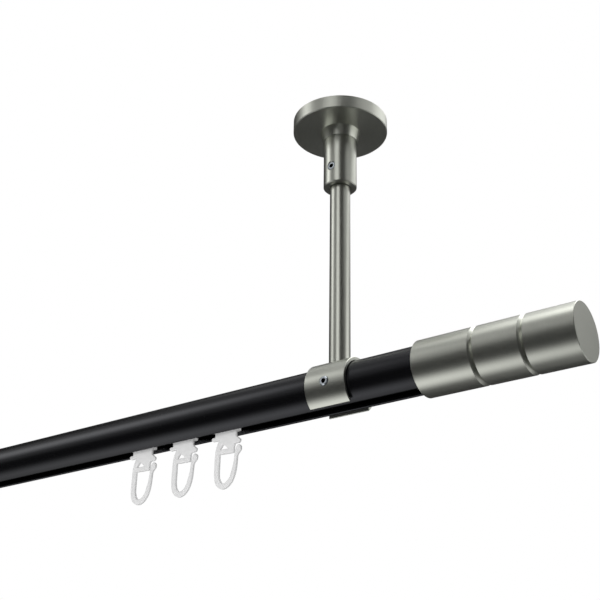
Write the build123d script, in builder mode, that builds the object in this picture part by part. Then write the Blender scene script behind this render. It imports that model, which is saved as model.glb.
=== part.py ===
from build123d import *
from math import radians, sin, sqrt
import os

# Ceiling-hung curtain rod: a slotted tube on two hangers, with a finial at each end
# and gliders with hooks that run in the slot.
# Millimetres. +X runs along the rod, +Z is up and -Y faces the room.
# The origin is on the ceiling, over the middle of the rod.

# Tube with an inner track, open along its underside
tube_length = 1000.0
tube_diameter = 20.0
tube_wall = 1.1
slot_width = 6.4
slot_lip_round = 0.8
lip_depth = 2.5
track_height = 4.8
track_web = 1.1

# Where the rod hangs and where the hangers stand
ceiling_to_rod = 132.8
hanger_from_tube_end = 62.9

# Clamp ring round the tube, open at the bottom so that gliders pass
clamp_length = 19.8
clamp_wall = 1.5
clamp_clearance = 0.2
clamp_open_half_angle = 34.6
clamp_jaw_round = 0.3
clamp_edge = 0.2

# Post from the clamp up into the socket
post_diameter = 9.18
post_fit = 0.06
post_top_gap = 1.0
post_edge = 0.4

# Socket under the ceiling plate
socket_wall = 2.89
socket_drop = 35.8
socket_depth = 24.0
socket_edge = 0.4
socket_mouth_gap = 0.45
socket_mouth_depth = 1.4
spigot_diameter = 10.0
spigot_fit = 0.05

# Ceiling plate, hidden by the rosette
plate_clearance = 0.9
plate_thickness = 3.0
plate_hole_count = 3
plate_hole_from_rim = 6.5
plate_first_hole_angle = 90.0
plate_hole_diameter = 4.5
plate_sink_diameter = 8.6
plate_edge = 0.4
countersink_angle = 90.0

# Rosette, a cover with a conical collar round the socket
rosette_diameter = 43.6
rosette_height = 6.2
rosette_floor = 1.5
rosette_wall = 1.4
rosette_edge = 0.35
collar_drop = 5.0
collar_top_wall = 1.5
collar_bottom_wall = 0.25
collar_fit = 0.08

# Set screws with a hexagon socket
set_screw_diameter = 3.9
set_screw_fit = 0.05
set_screw_key = 2.0
set_screw_key_depth = 1.1
set_screw_edge = 0.3
set_screw_seat = 0.02
ring_screw_length = 2.0
socket_screw_recess = 0.3
socket_screw_up = 8.6
screw_hole_edge = 0.35
screw_hole_taper = 45.0

# Countersunk screw that holds the ring to the post, driven from inside the ring
post_screw_diameter = 2.9
post_screw_fit = 0.05
post_screw_head_diameter = 5.4
post_screw_length = 9.5
post_screw_sunk = 0.05
post_screw_slot_length = 3.2
post_screw_slot_depth = 0.7
post_screw_slot_width = 0.7
post_hole_spare = 1.0

# Finial, a turned sleeve with two grooves of V section
finial_length = 67.4
finial_wall = 1.67
finial_fit = 0.08
finial_seat_depth = 22.4
finial_groove_width = 2.1
finial_groove_depth = 1.05
finial_groove_places = (25.8, 46.2)
finial_relief_wall = 3.25
finial_end_wall = 8.0
finial_edge = 0.35
finial_end_edge = 0.2
finial_screw_from_mouth = 11.0

# Glider, one moulding: a head in the track, and a flat neck, tab, nose and hook under it
gliders_per_side = 3
glider_pitch = 25.1
first_glider_from_hanger = 60.1
head_length = 14.6
head_side_clearance = 0.39
head_thickness = 1.2
head_lift = 0.05
head_edge = 0.3
tab_underside = 11.2
hook_drop = 22.4
hook_thickness = 1.5
hook_edge = 0.3

# Worked out from the sizes above
tube_radius = tube_diameter / 2
tube_inner_radius = tube_radius - tube_wall
rail_depth = tube_radius - lip_depth
tube_end = tube_length / 2
rod_z = -ceiling_to_rod
hanger_x = tube_end - hanger_from_tube_end
ring_inner_radius = tube_radius + clamp_clearance
ring_outer_radius = ring_inner_radius + clamp_wall
post_radius = post_diameter / 2
socket_bore_radius = post_radius + post_fit
socket_radius = socket_bore_radius + socket_wall
plate_radius = rosette_diameter / 2 - rosette_wall - plate_clearance
post_hole_radius = post_screw_diameter / 2 + post_screw_fit
socket_roof_z = -socket_drop + socket_depth
post_top_z = socket_roof_z - post_top_gap
set_screw_radius = set_screw_diameter / 2
screw_hole_radius = set_screw_radius + set_screw_fit
finial_bore_radius = tube_radius + finial_fit
finial_radius = finial_bore_radius + finial_wall
head_width = 2 * sqrt(tube_inner_radius**2 - rail_depth**2) - 2 * head_side_clearance
sides = (("right", 1), ("left", -1))

os.makedirs("parts", exist_ok=True)


def save(piece, name):
    piece.part.label = name
    export_step(piece.part, f"parts/{name}.step")


def section_plane(x):
    # The rod's section, seen from its right end, with the rod's axis at its origin
    return Plane(origin=(x, 0, rod_z), x_dir=(0, 1, 0), z_dir=(1, 0, 0))


def side_plane(x, z, facing):
    # An upright plane through the rod's middle that faces the room at -1 and the wall at 1
    return Plane(origin=(x, 0, z), x_dir=(-facing, 0, 0), z_dir=(0, facing, 0))


def level_plane(x, z):
    return Plane(origin=(x, 0, z))


def below_plane(x, z):
    # A level plane that looks down
    return Plane(origin=(x, 0, z), x_dir=(1, 0, 0), z_dir=(0, 0, -1))


def make_tube():
    with BuildSketch() as upper_chamber:
        Circle(tube_inner_radius)
        with Locations((0, track_height - rail_depth + track_web)):
            Rectangle(tube_diameter, tube_diameter, align=(Align.CENTER, Align.MIN), mode=Mode.INTERSECT)
    with BuildSketch() as track_chamber:
        Circle(tube_inner_radius)
        with Locations((0, -rail_depth)):
            Rectangle(tube_diameter, track_height, align=(Align.CENTER, Align.MIN), mode=Mode.INTERSECT)
    with BuildPart() as tube:
        with BuildSketch(section_plane(-tube_end)) as section:
            Circle(tube_radius)
            add(upper_chamber.sketch, mode=Mode.SUBTRACT)
            add(track_chamber.sketch, mode=Mode.SUBTRACT)
            with Locations((0, -rail_depth)):
                Rectangle(slot_width, tube_radius, align=(Align.CENTER, Align.MAX), mode=Mode.SUBTRACT)
            mouth_corners = section.vertices().sort_by(Axis.Y)[:2]
            fillet(mouth_corners, radius=slot_lip_round)
        extrude(amount=tube_length)
    return tube


def make_screw_hole(plane, surface):
    # What a screw hole takes away, from the plane out to a round surface that far from it
    with BuildPart() as hole:
        with BuildSketch(plane):
            Circle(screw_hole_radius)
        extrude(amount=surface + screw_hole_edge)
        with BuildSketch(plane.offset(surface - screw_hole_edge)):
            Circle(screw_hole_radius)
        extrude(amount=2 * screw_hole_edge, taper=-screw_hole_taper)
    return hole


def make_ring(side):
    x = side * hanger_x
    reach = 2 * ring_outer_radius
    opening = 2 * ring_outer_radius * sin(radians(clamp_open_half_angle))
    head_radius = post_screw_head_diameter / 2 + post_screw_fit
    screw_hole = make_screw_hole(side_plane(x, rod_z, -1), ring_outer_radius)
    with BuildPart() as ring:
        with BuildSketch(section_plane(x - clamp_length / 2)) as section:
            Circle(ring_outer_radius)
            Circle(ring_inner_radius, mode=Mode.SUBTRACT)
            Rectangle(opening, reach, align=(Align.CENTER, Align.MAX), mode=Mode.SUBTRACT)
            fillet(section.vertices(), radius=clamp_jaw_round)
        extrude(amount=clamp_length)
        chamfer(ring.faces().filter_by(Axis.X).edges(), length=clamp_edge)
        add(screw_hole.part, mode=Mode.SUBTRACT)
        with BuildSketch(level_plane(x, rod_z)):
            Circle(post_hole_radius)
        extrude(amount=reach, mode=Mode.SUBTRACT)
        with BuildSketch(level_plane(x, rod_z)):
            Circle(head_radius)
        extrude(amount=ring_inner_radius + post_screw_sunk, mode=Mode.SUBTRACT)
        with BuildSketch(level_plane(x, rod_z + ring_inner_radius + post_screw_sunk)):
            Circle(head_radius)
        extrude(amount=head_radius - post_hole_radius, taper=countersink_angle / 2, mode=Mode.SUBTRACT)
    return ring


def make_post(side):
    x = side * hanger_x
    with BuildPart() as post:
        with BuildSketch(level_plane(x, rod_z)):
            Circle(post_radius)
        extrude(amount=post_top_z - rod_z)
        chamfer(post.edges().sort_by(Axis.Z)[-1], length=post_edge)
        with BuildSketch(section_plane(x - ring_outer_radius)):
            Circle(ring_outer_radius)
        extrude(amount=2 * ring_outer_radius, mode=Mode.SUBTRACT)
        with BuildSketch(level_plane(x, rod_z)):
            Circle(post_hole_radius)
        extrude(amount=ring_inner_radius + post_screw_length + post_hole_spare, mode=Mode.SUBTRACT)
    return post


def make_post_screw(side):
    x = side * hanger_x
    face_z = rod_z + ring_inner_radius + post_screw_sunk
    shank_radius = post_screw_diameter / 2
    head_radius = post_screw_head_diameter / 2
    with BuildPart() as screw:
        with BuildSketch(level_plane(x, face_z)):
            Circle(head_radius)
        extrude(amount=head_radius - shank_radius, taper=countersink_angle / 2)
        with BuildSketch(level_plane(x, face_z)):
            Circle(shank_radius)
        extrude(amount=post_screw_length)
        chamfer(screw.edges().sort_by(Axis.Z)[-1], length=set_screw_edge)
        with BuildSketch(level_plane(x, face_z)):
            Rectangle(post_screw_slot_length, post_screw_slot_width)
            Rectangle(post_screw_slot_width, post_screw_slot_length)
        extrude(amount=post_screw_slot_depth, mode=Mode.SUBTRACT)
    return screw


def make_set_screw(plane, inner_end, outer_end):
    # The plane's normal points out of the hole, and both ends are distances along it
    with BuildPart() as screw:
        with BuildSketch(plane.offset(inner_end)):
            Circle(set_screw_radius)
        extrude(amount=outer_end - inner_end)
        chamfer(screw.faces().filter_by(GeomType.PLANE).edges(), length=set_screw_edge)
        with BuildSketch(plane.offset(outer_end)):
            RegularPolygon(radius=set_screw_key / 2, side_count=6, major_radius=False)
        extrude(amount=-set_screw_key_depth, mode=Mode.SUBTRACT)
    return screw


def make_socket(side):
    x = side * hanger_x
    screw_hole = make_screw_hole(side_plane(x, socket_screw_up - socket_drop, -1), socket_radius)
    with BuildPart() as socket:
        with BuildSketch(level_plane(x, -socket_drop)):
            Circle(socket_radius)
        extrude(amount=socket_drop - plate_thickness)
        chamfer(socket.edges().sort_by(Axis.Z)[0], length=socket_edge)
        with BuildSketch(level_plane(x, -plate_thickness)):
            Circle(spigot_diameter / 2 - spigot_fit)
        extrude(amount=plate_thickness)
        with BuildSketch(level_plane(x, -socket_drop)):
            Circle(socket_bore_radius)
        extrude(amount=socket_depth, mode=Mode.SUBTRACT)
        with BuildSketch(level_plane(x, -socket_drop)):
            Circle(post_radius + socket_mouth_gap)
        extrude(amount=socket_mouth_depth, mode=Mode.SUBTRACT)
        add(screw_hole.part, mode=Mode.SUBTRACT)
    return socket


def make_plate(side):
    x = side * hanger_x
    with BuildPart() as plate:
        with BuildSketch(level_plane(x, -plate_thickness)):
            Circle(plate_radius)
            Circle(spigot_diameter / 2, mode=Mode.SUBTRACT)
        extrude(amount=plate_thickness)
        chamfer(plate.edges().group_by(Axis.Z)[0].sort_by(SortBy.LENGTH)[-1], length=plate_edge)
        with Locations(below_plane(x, -plate_thickness)):
            hole_circle = plate_radius - plate_hole_from_rim
            with PolarLocations(hole_circle, plate_hole_count, plate_first_hole_angle):
                CounterSinkHole(
                    radius=plate_hole_diameter / 2,
                    counter_sink_radius=plate_sink_diameter / 2,
                    depth=plate_thickness,
                    counter_sink_angle=countersink_angle,
                )
    return plate


def make_rosette(side):
    x = side * hanger_x
    radius = rosette_diameter / 2
    bore = socket_radius + collar_fit
    floor_z = -rosette_height + rosette_floor
    collar_z = -rosette_height - collar_drop
    with BuildPart() as rosette:
        with BuildSketch(Plane(origin=(x, 0, 0), x_dir=(1, 0, 0), z_dir=(0, -1, 0))):
            with BuildLine():
                Polyline(
                    (bore, collar_z),
                    (bore + collar_bottom_wall, collar_z),
                    (bore + collar_top_wall, -rosette_height),
                    (radius - rosette_edge, -rosette_height),
                    (radius, -rosette_height + rosette_edge),
                    (radius, 0),
                    (radius - rosette_wall, 0),
                    (radius - rosette_wall, floor_z),
                    (bore, floor_z),
                    close=True,
                )
            make_face()
        revolve(axis=Axis((x, 0, 0), (0, 0, 1)))
    return rosette


def make_finial(side):
    # Drawn along the rod from the mouth at the tube to the flat outer end
    mouth_x = tube_end - finial_seat_depth
    end_x = mouth_x + finial_length
    relief_radius = finial_radius - finial_relief_wall
    screw_x = side * (mouth_x + finial_screw_from_mouth)
    screw_hole = make_screw_hole(side_plane(screw_x, rod_z, 1), finial_radius)
    with BuildPart() as finial:
        with BuildSketch(Plane(origin=(0, 0, rod_z), x_dir=(side, 0, 0), z_dir=(0, -side, 0))):
            with BuildLine():
                reached = (mouth_x + finial_edge, finial_radius)
                Polyline((mouth_x, finial_bore_radius), (mouth_x, finial_radius - finial_edge), reached)
                for place in finial_groove_places:
                    groove_x = mouth_x + place
                    groove_start = (groove_x - finial_groove_width / 2, finial_radius)
                    groove_floor = (groove_x, finial_radius - finial_groove_depth)
                    groove_end = (groove_x + finial_groove_width / 2, finial_radius)
                    Polyline(reached, groove_start, groove_floor, groove_end)
                    reached = groove_end
                Polyline(
                    reached,
                    (end_x - finial_end_edge, finial_radius),
                    (end_x, finial_radius - finial_end_edge),
                    (end_x, 0),
                    (end_x - finial_end_wall, 0),
                    (end_x - finial_end_wall, relief_radius),
                    (tube_end, relief_radius),
                    (tube_end, finial_bore_radius),
                    (mouth_x, finial_bore_radius),
                )
            make_face()
        revolve(axis=Axis((0, 0, rod_z), (1, 0, 0)))
        add(screw_hole.part, mode=Mode.SUBTRACT)
    return finial


def make_glider(side, place):
    # Hook and neck are one flat shape, counted from the tab's underside, with the free tip
    # towards the nearer finial and the tab away from it
    x = side * (hanger_x - first_glider_from_hanger - place * glider_pitch)
    head_z = rod_z - rail_depth + head_lift
    tab_z = rod_z - tab_underside
    neck_top = head_z - tab_z + head_thickness / 2
    hook_plane = Plane(origin=(x, 0, tab_z), x_dir=(side, 0, 0), z_dir=(0, -side, 0))
    with BuildPart() as glider:
        with BuildSketch(hook_plane.offset(-hook_thickness / 2)):
            with BuildLine():
                back = Spline(
                    (-3.8, 0.0), (-4.8, -1.7), (-5.6, -4.6), (-5.85, -8.5), (-5.9, -12.5),
                    (-5.65, 5.6 - hook_drop), (-4.3, 2.1 - hook_drop), (-0.8, -hook_drop),
                    (2.9, 1.2 - hook_drop), (5.1, 4.0 - hook_drop),
                    (6.2, -15.0), (6.65, -11.0), (6.8, -8.5),
                )
                tip = Spline(
                    back @ 1, (7.65, -7.2), (8.6, -6.1), (8.7, -5.1), (8.3, -4.1), (7.4, -3.6),
                    (6.5, -4.0), (5.9, -5.2),
                )
                spring = Spline(
                    tip @ 1, (5.3, -7.7), (5.1, -10.3), (4.1, -14.6), (3.1, 4.9 - hook_drop),
                    (1.5, 3.1 - hook_drop), (-0.8, 2.5 - hook_drop), (-2.3, 3.9 - hook_drop),
                    (-3.1, 6.0 - hook_drop), (-3.25, -15.0), (-3.25, -13.5),
                )
                Polyline(
                    spring @ 1, (-3.25, -6.6), (4.75, -6.85), (4.75, -3.8), (5.2, -2.75), (7.2, -2.75),
                )
                ThreePointArc((7.2, -2.75), (8.15, -1.8), (7.5, -0.7))
                Polyline(
                    (7.5, -0.7), (6.1, 0.45), (5.7, 1.2), (5.7, neck_top), (-6.3, neck_top),
                    (-6.3, 1.75), (-7.3, 1.75),
                )
                ThreePointArc((-7.3, 1.75), (-8.2, 0.85), (-7.3, 0.0))
                Line((-7.3, 0.0), back @ 0)
            make_face()
            with BuildLine():
                Polyline((-3.3, -4.5), (1.4, -4.5), (0.0, -3.1), (-1.7, -2.3), close=True)
            make_face(mode=Mode.SUBTRACT)
        extrude(amount=hook_thickness)
        broad_faces = glider.faces().filter_by(Axis.Y).sort_by(SortBy.AREA)[-2:]
        chamfer(broad_faces.edges(), length=hook_edge)
        with BuildSketch(level_plane(x, head_z)):
            Ellipse(head_length / 2, head_width / 2)
        extrude(amount=head_thickness)
        fillet(glider.faces().sort_by(Axis.Z)[-1].edges(), radius=head_edge)
    return glider


save(make_tube(), "track_tube")

for side_name, side in sides:
    x = side * hanger_x
    save(make_ring(side), f"{side_name}_clamp_ring")
    save(make_post(side), f"{side_name}_post")
    save(make_post_screw(side), f"{side_name}_post_screw")
    save(make_socket(side), f"{side_name}_socket")
    save(make_plate(side), f"{side_name}_ceiling_plate")
    save(make_rosette(side), f"{side_name}_rosette")
    save(make_finial(side), f"{side_name}_finial")

    screw_start = tube_radius + set_screw_seat
    clamp_screw = make_set_screw(side_plane(x, rod_z, -1), screw_start, screw_start + ring_screw_length)
    save(clamp_screw, f"{side_name}_clamp_screw")

    finial_screw_x = side * (tube_end - finial_seat_depth + finial_screw_from_mouth)
    finial_screw_plane = side_plane(finial_screw_x, rod_z, 1)
    finial_screw = make_set_screw(finial_screw_plane, screw_start, screw_start + ring_screw_length)
    save(finial_screw, f"{side_name}_finial_screw")

    socket_screw_plane = side_plane(x, socket_screw_up - socket_drop, -1)
    socket_screw_end = socket_radius - socket_screw_recess
    socket_screw = make_set_screw(socket_screw_plane, post_radius + set_screw_seat, socket_screw_end)
    save(socket_screw, f"{side_name}_socket_screw")

    for place in range(gliders_per_side):
        save(make_glider(side, place), f"{side_name}_glider_{place + 1}")
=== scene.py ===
"""Ceiling-hung curtain rod: black slotted tube, satin nickel hangers and finials, white gliders."""

import math

import bpy
from mathutils import Matrix, Vector


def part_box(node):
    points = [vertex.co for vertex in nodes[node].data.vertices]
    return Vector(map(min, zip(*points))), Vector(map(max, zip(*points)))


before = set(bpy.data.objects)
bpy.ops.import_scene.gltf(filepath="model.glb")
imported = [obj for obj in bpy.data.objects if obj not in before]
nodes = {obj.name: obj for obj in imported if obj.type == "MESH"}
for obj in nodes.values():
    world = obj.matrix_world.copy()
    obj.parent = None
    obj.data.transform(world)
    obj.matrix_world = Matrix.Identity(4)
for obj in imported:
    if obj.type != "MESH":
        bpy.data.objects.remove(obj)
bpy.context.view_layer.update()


def middle(node):
    """The middle of a CAD node's box."""
    low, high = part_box(node)
    return (low + high) / 2


# Places in metres, those of the rod from the model's own pieces
HANGER_X = middle("right_rosette").x
ROD_Z = middle("right_finial").z
FLOOR_Z = -2.5
FLOOR_SIZE = 60.0
TENT_RADIUS = 12.0
SIDES = {"right": 1, "left": -1}

# The rosette's outermost ring, brushed duller than the rest
RIM_WIDTH = 0.0006
RIM_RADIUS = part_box("right_rosette")[1].y - RIM_WIDTH

# The way each kind of set screw faces along Y. Its key socket is painted near black as shade
# within a reach of the screw's axis, from just under the screw's outer end inwards
SET_SCREWS = {"clamp_screw": -1, "socket_screw": -1, "finial_screw": 1}
KEY_REACH = 0.00122
KEY_START = 0.00006

# Colours, in linear light
NICKEL = (0.634, 0.648, 0.585)
SCREW_STEEL = (0.74, 0.80, 0.86)
# Painted shade: near black that stands for the shade deep in a set screw's key socket
KEY_SOCKET_SHADE = (0.010, 0.011, 0.014)
TUBE_BLACK = (0.0010, 0.0010, 0.0013)
TUBE_SHEEN = (0.90, 0.92, 1.0)
GLIDER_WHITE = (0.82, 0.82, 0.82)
FLOOR_PALE = (0.90, 0.90, 0.90)
WHITE_LIGHT = (1.0, 1.0, 1.0)

# Roughness of the nickel without its grain, on the rosettes apart from the rest, and how
# much the grain and a rosette's rim add to it
POLISH = 0.28
ROSETTE_POLISH = 0.29
GRAIN_DULLING = 0.08
RIM_DULLING = 0.05

# How much more the rings round a post blur a reflection across them than along them, and
# the part of a turn that lays the blur that way
POST_CROSSED = 0.3
CROSSED_TURN = 0.25

# Grain in cells a metre: for turned nickel along and away from the axis, with the cells
# round the axis second, and for the drawn tube along it and across it
FINE_RINGS = (5200, 2.5)
BROAD_STROKES = (1500, 12)
DRAWN_LINES = (6, 900)

# The camera: its place, its turns in degrees from looking level along Y, and its lens
CAMERA_PLACE = (0.6725, -0.3483, -0.2914)
CAMERA_PAN = 36.40
CAMERA_TILT = 25.38
CAMERA_ROLL = 1.14
CAMERA_LENS = 64.57
SENSOR_WIDTH = 36.0
CLIP_START = 0.01

# Lamps: azimuth and elevation in degrees, and power. Both are aimed at one place on the rod
LAMPS = {"key_lamp": (15, -12, 54), "back_lamp": (-160, -5, 40)}
LAMP_DISTANCE = 3.0
LAMP_SIZE = 2.6
LAMP_TARGET = Vector((0.3, 0, ROD_Z))

# Soft windows round the rod, as the metal shows them: azimuth from the front towards the
# rod's right end, elevation, full radius and width of the soft edge, all in degrees, and
# brightness
WINDOWS = [
    (-54, 32, 1, 19, 1.78),
    (-49, 36, 30, 5, 0.26),
    (13, 23, 14, 4, 1.19),
    (90, 43, 14, 3, 0.52),
    (161, 56, 9, 28, 2.41),
    (24, 83, 20, 4, 2.09),
    (-69, -55, 1, 34, 1.33),
    (-115, 66, 15, 3, 0.43),
    (123, -3, 22, 17, 1.14),
    (-48, 63, 6, 4, 0.47),
    (32, -6, 11, 12, 0.13),
    (163, -62, 11, 28, 0.22),
]

# Brightness of the tent between its windows, of the white room where it lights things, and
# of the floor's own glow where it is seen
TENT_DIM = 0.044
AMBIENT = 0.4
FLOOR_GLOW = 0.8

# Keeps a division off zero on a turned piece's axis
AXIS_GAP = 1e-6


class Socket:
    """A shader socket; an expression on sockets and numbers adds its Math nodes."""

    def __init__(self, maker, link):
        self.maker = maker
        self.link = link

    def __add__(self, other):
        return self.maker.math("ADD", self, other)

    def __sub__(self, other):
        return self.maker.math("SUBTRACT", self, other)

    def __rsub__(self, other):
        return self.maker.math("SUBTRACT", other, self)

    def __mul__(self, other):
        return self.maker.math("MULTIPLY", self, other)

    def __truediv__(self, other):
        return self.maker.math("DIVIDE", self, other)

    def __rtruediv__(self, other):
        return self.maker.math("DIVIDE", other, self)

    def __pow__(self, other):
        return self.maker.math("POWER", self, other)

    def __rpow__(self, other):
        return self.maker.math("POWER", other, self)

    __radd__ = __add__
    __rmul__ = __mul__


class Maker:
    """Builds one node tree."""

    def __init__(self, tree):
        self.tree = tree
        tree.nodes.clear()

    def node(self, kind, settings=None, inputs=None, output=0):
        """Adds a node of a kind, with its settings and then its sockets' values and links."""
        made = self.tree.nodes.new(kind)
        for key, value in (settings or {}).items():
            setattr(made, key, value)
        for key, value in (inputs or {}).items():
            if isinstance(value, Socket):
                self.tree.links.new(value.link, made.inputs[key])
            else:
                made.inputs[key].default_value = value
        return Socket(self, made.outputs[output])

    def output(self, surface, kind="ShaderNodeOutputMaterial"):
        """Ends the tree in a surface."""
        made = self.tree.nodes.new(kind)
        self.tree.links.new(surface.link, made.inputs["Surface"])

    def math(self, operation, *values):
        """A Math node on sockets and numbers."""
        return self.node("ShaderNodeMath", {"operation": operation}, dict(enumerate(values)))

    def position(self, centre=(0, 0, 0)):
        """Object coordinates counted from centre, whole and as x, y and z."""
        place = self.node("ShaderNodeTexCoord", output="Object")
        moved = self.node(
            "ShaderNodeMapping", inputs={"Vector": place, "Location": [-c for c in centre]}
        )
        return moved, [
            self.node("ShaderNodeSeparateXYZ", inputs={"Vector": moved}, output=axis)
            for axis in ("X", "Y", "Z")
        ]

    def vector(self, x, y, z):
        return self.node("ShaderNodeCombineXYZ", inputs={"X": x, "Y": y, "Z": z})

    def noise(self, place, scale=1.0, detail=2.0, roughness=0.5, turn=None):
        """A noise from 0 to 1. With turn, the fourth number of the place."""
        settings = {"noise_dimensions": "3D" if turn is None else "4D"}
        inputs = {"Vector": place, "Scale": scale, "Detail": detail, "Roughness": roughness}
        if turn is not None:
            inputs["W"] = turn
        return self.node("ShaderNodeTexNoise", settings, inputs)

    def mix(self, share, first, second):
        """A colour from first to second by share, through the Mix node's colour sockets."""
        return self.node(
            "ShaderNodeMix", {"data_type": "RGBA"}, {0: share, 6: first, 7: second}, output=2
        )

    def shades(self, share, colour, darkest, palest):
        """A colour that goes from its darkest shade to its palest one by share."""
        return self.mix(share, rgba(colour, darkest), rgba(colour, palest))

    def bump(self, height, depth):
        return self.node(
            "ShaderNodeBump", inputs={"Strength": 1.0, "Distance": depth, "Height": height}
        )

    def finish(self, inputs):
        """Ends a material in one surface with these inputs."""
        self.output(self.node("ShaderNodeBsdfPrincipled", inputs=inputs))


def rgba(colour, scale=1.0):
    return (*(c * scale for c in colour), 1.0)


def new_material(name):
    material = bpy.data.materials.new(name)
    material.use_nodes = True
    return material, Maker(material.node_tree)


def turned_nickel(name, axis, centre, polish=POLISH, crossed=0.0, rim=None):
    """Satin nickel with the fine rings that turning leaves round an axis, X or Z.

    crossed is how much more the rings blur a reflection across them than along them. rim is
    the radius past which the metal is brushed duller, or None.
    """
    material, maker = new_material(name)
    place, (x, y, z) = maker.position(centre)
    along, across, up = (x, y, z) if axis == "X" else (z, x, y)
    radius = (across * across + up * up) ** 0.5 + AXIS_GAP

    def rings(cells, cells_round, detail):
        ring = maker.vector(along * cells, radius * cells, across / radius * cells_round)
        return maker.noise(ring, detail=detail, roughness=0.6, turn=up / radius * cells_round)

    grain = rings(*FINE_RINGS, detail=3.0)
    brushed = rings(*BROAD_STROKES, detail=2.0)
    cloud = maker.noise(place, scale=55.0)
    tone = grain * 0.4 + brushed * 0.4 + cloud * 0.2
    dull = GRAIN_DULLING * tone
    if rim is not None:
        dull = dull + RIM_DULLING * maker.math("GREATER_THAN", radius, rim)
    maker.finish(
        {
            "Base Color": maker.shades(tone, NICKEL, darkest=0.88, palest=1.12),
            "Metallic": 1.0,
            "Roughness": polish + dull,
            "Anisotropic": crossed,
            "Anisotropic Rotation": CROSSED_TURN,
            "Normal": maker.bump(grain, depth=0.0000012),
        }
    )
    return material


def satin_black():
    """Black powder coat on the drawn tube: faint lengthwise drawing lines under it."""
    material, maker = new_material("tube_black")
    place, (x, y, z) = maker.position((0, 0, ROD_Z))
    lengthwise, crosswise = DRAWN_LINES
    drawn = maker.noise(maker.vector(x * lengthwise, y * crosswise, z * crosswise))
    peel = maker.noise(place, scale=900.0)
    maker.finish(
        {
            "Base Color": maker.shades(drawn, TUBE_BLACK, darkest=0.7, palest=1.5),
            "Roughness": 0.23 + 0.06 * peel,
            "IOR": 1.5,
            "Specular Tint": rgba(TUBE_SHEEN),
            "Normal": maker.bump(drawn * 0.6 + peel * 0.4, depth=0.000001),
        }
    )
    return material


def moulded_white():
    """Slightly translucent white plastic, as the gliders are moulded from."""
    material, maker = new_material("glider_white")
    place, _ = maker.position()
    flow = maker.noise(place, scale=260.0, detail=3.0)
    skin = maker.noise(place, scale=2200.0)
    maker.finish(
        {
            "Base Color": maker.shades(flow, GLIDER_WHITE, darkest=0.96, palest=1.03),
            "Roughness": 0.38 + 0.1 * skin,
            "Subsurface Weight": 0.35,
            "Subsurface Radius": (0.0015, 0.0015, 0.0015),
            "Subsurface Scale": 1.0,
            "Normal": maker.bump(skin * 0.5 + flow * 0.5, depth=0.00001),
        }
    )
    return material


def screw_steel(kind, facing):
    """Zinc-plated set screws of one kind, at both ends of the rod, with painted shade in the key
    socket.

    The pattern is counted from the middle of the right one's outer end, and facing is the way
    that this end looks along Y.
    """
    low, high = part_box(f"right_{kind}")
    screw = middle(f"right_{kind}")
    end = high if facing > 0 else low
    material, maker = new_material(kind)
    place, (x, y, z) = maker.position((0, end.y, screw.z))
    off = maker.math("ABSOLUTE", x) - screw.x
    radius = (off * off + z * z) ** 0.5
    # Painted shade: a disc round the screw's axis, below its outer end, where the key socket lies
    # in shade
    inside = maker.math("LESS_THAN", radius, KEY_REACH)
    painted_socket_shade = inside * maker.math("GREATER_THAN", y * -facing, KEY_START)
    speckle = maker.noise(place, scale=4000.0, detail=3.0)
    plated = maker.shades(speckle, SCREW_STEEL, darkest=0.85, palest=1.12)
    maker.finish(
        {
            # The key socket is painted near black as shade over the plated steel
            "Base Color": maker.mix(painted_socket_shade, plated, rgba(KEY_SOCKET_SHADE)),
            "Metallic": 1.0,
            "Roughness": 0.2 + 0.15 * speckle,
            "Normal": maker.bump(speckle, depth=0.000004),
        }
    )
    return material


def aim_camera():
    """The photograph's view: from below the rod's right end, looking up and along it."""
    turn = (
        Matrix.Rotation(math.radians(CAMERA_PAN), 4, "Z")
        @ Matrix.Rotation(math.radians(90 + CAMERA_TILT), 4, "X")
        @ Matrix.Rotation(math.radians(CAMERA_ROLL), 4, "Z")
    )
    data = bpy.data.cameras.new("camera")
    data.sensor_width = SENSOR_WIDTH
    data.lens = CAMERA_LENS
    data.clip_start = CLIP_START
    camera = bpy.data.objects.new("camera", data)
    camera.matrix_world = Matrix.Translation(CAMERA_PLACE) @ turn
    bpy.context.scene.collection.objects.link(camera)
    bpy.context.scene.camera = camera


def direction(azimuth, elevation):
    """The way to azimuth, from the front towards the rod's right end, and elevation."""
    a, e = math.radians(azimuth), math.radians(elevation)
    return (math.sin(a) * math.cos(e), -math.cos(a) * math.cos(e), math.sin(e))


def seen_directly(maker):
    """1 for what the camera, metal and glass see, and 0 for the light that falls on things."""
    camera, glossy, transmission = (
        maker.node("ShaderNodeLightPath", output=f"Is {ray} Ray")
        for ray in ("Camera", "Glossy", "Transmission")
    )
    return maker.math("MAXIMUM", maker.math("MAXIMUM", camera, glossy), transmission)


def white_room():
    """A white world for what the camera, metal and glass see, and a plain level for the rest."""
    world = bpy.data.worlds.new("white_room")
    bpy.context.scene.world = world
    world.use_nodes = True
    maker = Maker(world.node_tree)
    level = seen_directly(maker) * (1 - AMBIENT) + AMBIENT
    room = maker.node(
        "ShaderNodeBackground", inputs={"Color": rgba(WHITE_LIGHT), "Strength": level}
    )
    maker.output(room, "ShaderNodeOutputWorld")


def soft_window(maker, way, azimuth, elevation, full, soft, brightness):
    """The light of one round window, whole within its radius and gone past its soft edge."""
    near = maker.node(
        "ShaderNodeVectorMath",
        {"operation": "DOT_PRODUCT"},
        {0: way, 1: direction(azimuth, elevation)},
        output="Value",
    )
    return maker.node(
        "ShaderNodeMapRange",
        {"interpolation_type": "SMOOTHSTEP"},
        {
            "Value": maker.math("ARCCOSINE", near),
            "From Min": math.radians(full + soft),
            "From Max": math.radians(full),
            "To Min": 0.0,
            "To Max": brightness,
        },
    )


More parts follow.
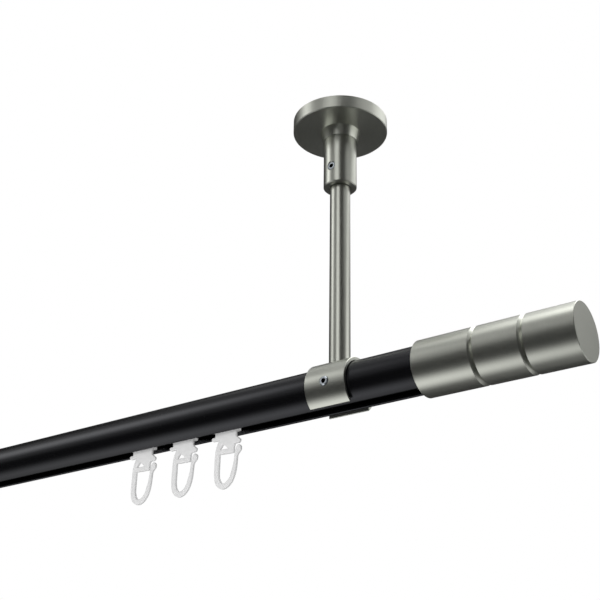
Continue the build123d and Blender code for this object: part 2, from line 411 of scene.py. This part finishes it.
def soft_tent():
    """A dim tent far round the rod that only reflections show, with soft bright windows."""
    bpy.ops.mesh.primitive_uv_sphere_add(segments=48, ring_count=24, radius=TENT_RADIUS)
    tent = bpy.context.object
    tent.name = "soft_tent"
    material, maker = new_material("tent_windows")
    place = maker.node("ShaderNodeTexCoord", output="Object")
    way = maker.node("ShaderNodeVectorMath", {"operation": "NORMALIZE"}, {0: place})
    light = sum(soft_window(maker, way, *window) for window in WINDOWS) + TENT_DIM
    maker.output(
        maker.node("ShaderNodeEmission", inputs={"Color": rgba(WHITE_LIGHT), "Strength": light})
    )
    material.cycles.emission_sampling = "NONE"
    tent.data.materials.append(material)
    for ray in ("camera", "diffuse", "transmission", "volume_scatter", "shadow"):
        setattr(tent, f"visible_{ray}", False)


def pale_floor():
    """A plain pale floor, a room's height below the ceiling, that reflections don't show."""
    bpy.ops.mesh.primitive_plane_add(size=FLOOR_SIZE, location=(0, 0, FLOOR_Z))
    floor = bpy.context.object
    floor.name = "floor"
    material, maker = new_material("floor_pale")
    place, _ = maker.position()
    tone = maker.noise(place, scale=1.4, detail=3.0)
    pale = maker.shades(tone, FLOOR_PALE, darkest=0.985, palest=1.0)
    matt = maker.node("ShaderNodeBsdfDiffuse", inputs={"Color": pale})
    glow = maker.node("ShaderNodeEmission", inputs={"Color": pale, "Strength": 1.0})
    share = seen_directly(maker) * FLOOR_GLOW
    maker.output(maker.node("ShaderNodeMixShader", inputs={0: share, 1: matt, 2: glow}))
    floor.data.materials.append(material)
    floor.visible_glossy = False


def soft_lamp(name, azimuth, elevation, power):
    """A large round lamp, seen only by the light that it casts."""
    data = bpy.data.lights.new(name, "AREA")
    data.shape = "DISK"
    data.size = LAMP_SIZE
    data.energy = power
    lamp = bpy.data.objects.new(name, data)
    way = Vector(direction(azimuth, elevation))
    lamp.location = LAMP_TARGET + way * LAMP_DISTANCE
    lamp.rotation_euler = way.to_track_quat("Z", "Y").to_euler()
    lamp.visible_camera = False
    lamp.visible_glossy = False
    bpy.context.scene.collection.objects.link(lamp)


def finishes():
    """The finish of every CAD node, by its name.

    The post screw has the clamp screw's finish, whose painted key socket shade lies clear of it.
    """
    tube, white = satin_black(), moulded_white()
    screws = {kind: screw_steel(kind, facing) for kind, facing in SET_SCREWS.items()}
    round_rod = turned_nickel("nickel_round_the_rod", "X", (0, 0, ROD_Z))
    by_node = {"track_tube": tube}
    for side, s in SIDES.items():
        centre = (s * HANGER_X, 0, 0)
        round_post = turned_nickel(
            f"nickel_round_the_{side}_post", "Z", centre, crossed=POST_CROSSED
        )
        rosette = turned_nickel(
            f"nickel_of_the_{side}_rosette", "Z", centre, ROSETTE_POLISH, POST_CROSSED, RIM_RADIUS
        )
        by_kind = {
            "ceiling_plate": round_post,
            "socket": round_post,
            "post": round_post,
            "rosette": rosette,
            "clamp_ring": round_rod,
            "finial": round_rod,
            "post_screw": screws["clamp_screw"],
            **screws,
            "glider_1": white,
            "glider_2": white,
            "glider_3": white,
        }
        by_node.update({f"{side}_{kind}": finish for kind, finish in by_kind.items()})
    return by_node


bpy.context.scene.view_settings.view_transform = "Standard"
bpy.ops.object.select_all(action="DESELECT")
aim_camera()
white_room()
soft_tent()
pale_floor()
for name, lamp in LAMPS.items():
    soft_lamp(name, *lamp)
for name, finish in finishes().items():
    for slot in nodes[name].material_slots:
        slot.material = finish
